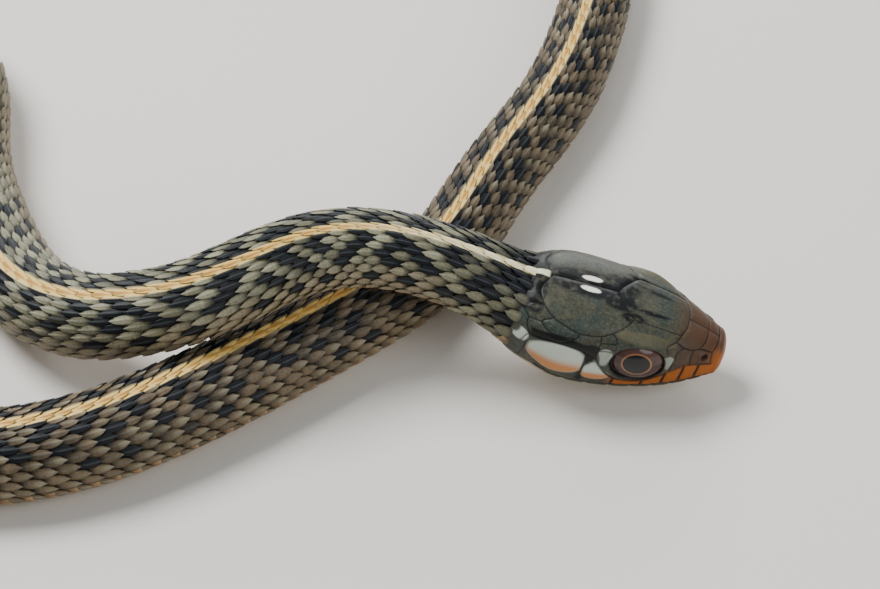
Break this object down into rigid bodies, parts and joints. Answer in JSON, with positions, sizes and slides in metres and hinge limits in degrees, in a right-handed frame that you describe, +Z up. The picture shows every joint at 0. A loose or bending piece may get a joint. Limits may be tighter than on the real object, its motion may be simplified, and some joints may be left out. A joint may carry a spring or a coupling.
{
  "type": "garter snake",
  "caption": "Life-size young garter snake lying in loose curves with its neck over its own body, with eyes, mouth line, scales and a pale stripe along the back.",
  "frame": {"origin": "centre of the bounding box, on the floor that the belly lies on", "axes": "+Z up from the floor, +X the way the head points, +Y away from the side that the picture was taken from"},
  "size_m": [0.0656, 0.0624, 0.0093],
  "materials": {
    "head_skin": "olive-brown horny head shields, orange-brown at the snout",
    "jaw_skin": "pale cream and tan shields of the lower jaw",
    "eye": "wet brown eye with a round dark pupil and a thin pale ring",
    "body_skin": "keeled olive-tan scales with blue-black checks, a cream and orange back stripe and pale belly plates",
    "tail_skin": "small keeled brown scales with a narrow pale stripe"
  },
  "bodies": {
    "root": {"head": "head_skin", "lower_jaw": "jaw_skin", "eye_left": "eye", "eye_right": "eye", "neck": "body_skin", "body_1": "body_skin", "body_2": "body_skin", "body_3": "body_skin", "body_4": "body_skin", "body_5": "body_skin", "body_6": "body_skin", "body_7": "body_skin", "tail_base": "tail_skin", "tail_tip": "tail_skin"}
  },
  "joints": []
}
